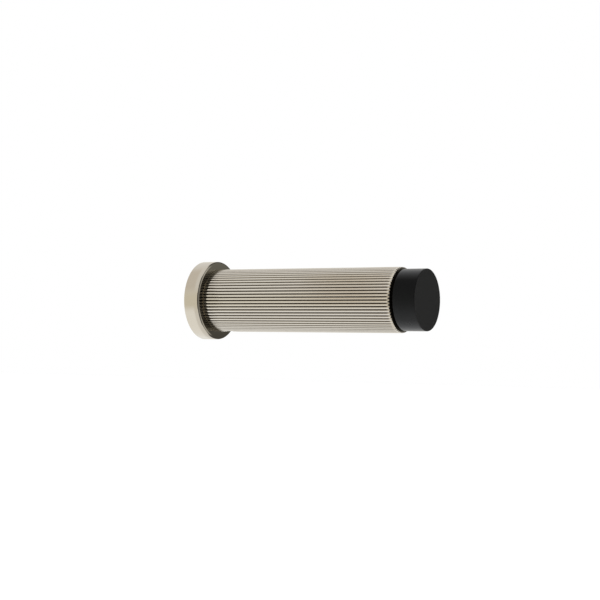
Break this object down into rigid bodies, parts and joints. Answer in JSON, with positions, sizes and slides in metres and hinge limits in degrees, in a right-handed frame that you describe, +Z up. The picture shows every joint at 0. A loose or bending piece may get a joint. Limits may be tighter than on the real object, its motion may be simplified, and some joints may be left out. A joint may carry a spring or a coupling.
{
  "type": "wall mounted door stop",
  "caption": "Projecting wall door stop: a fluted round metal barrel on a small round rose, ended by a flat black rubber buffer.",
  "frame": {"origin": "centre of the rose's wall face, on the axis of the wall screw hole", "axes": "+X along the barrel, away from the wall; +Z up, with the set screw on the underside (-Z)"},
  "size_m": [0.0787, 0.025, 0.025],
  "materials": {
    "polished_nickel": "nickel-plated brass, polished, faint warm tint",
    "polished_nickel_fluted": "nickel-plated brass, straight knurled, crests polished",
    "zinc_steel": "bright zinc plated steel",
    "plate_steel": "steel, blackened",
    "dark_steel": "black oxide",
    "black_rubber": "moulded, smooth, satin"
  },
  "bodies": {
    "wall_mount": {"mounting_boss": "zinc_steel", "rose": "polished_nickel"},
    "barrel": {"barrel": "polished_nickel_fluted"},
    "grub_screw": {"grub_screw": "dark_steel"},
    "buffer_mount": {"buffer_plate": "plate_steel", "buffer_stud": "zinc_steel"},
    "buffer": {"rubber_buffer": "black_rubber"}
  },
  "joints": [
    {"name": "barrel_slide", "type": "slide", "parent": "wall_mount", "child": "barrel", "axis": [1, 0, 0], "range_m": [0, 0.013]},
    {"name": "grub_travel", "type": "slide", "parent": "barrel", "child": "grub_screw", "axis": [0, 0, -1], "range_m": [0, 0.002]},
    {"name": "buffer_turn", "type": "hinge", "parent": "barrel", "child": "buffer_mount", "pos_m": [0.0707, 0, 0], "axis": [1, 0, 0], "continuous": true},
    {"name": "buffer_squash", "type": "slide", "parent": "buffer_mount", "child": "buffer", "axis": [-1, 0, 0], "range_m": [0, 0.0012], "stiffness_N_per_m": 150000, "deforming": ["rubber_buffer"]}
  ]
}
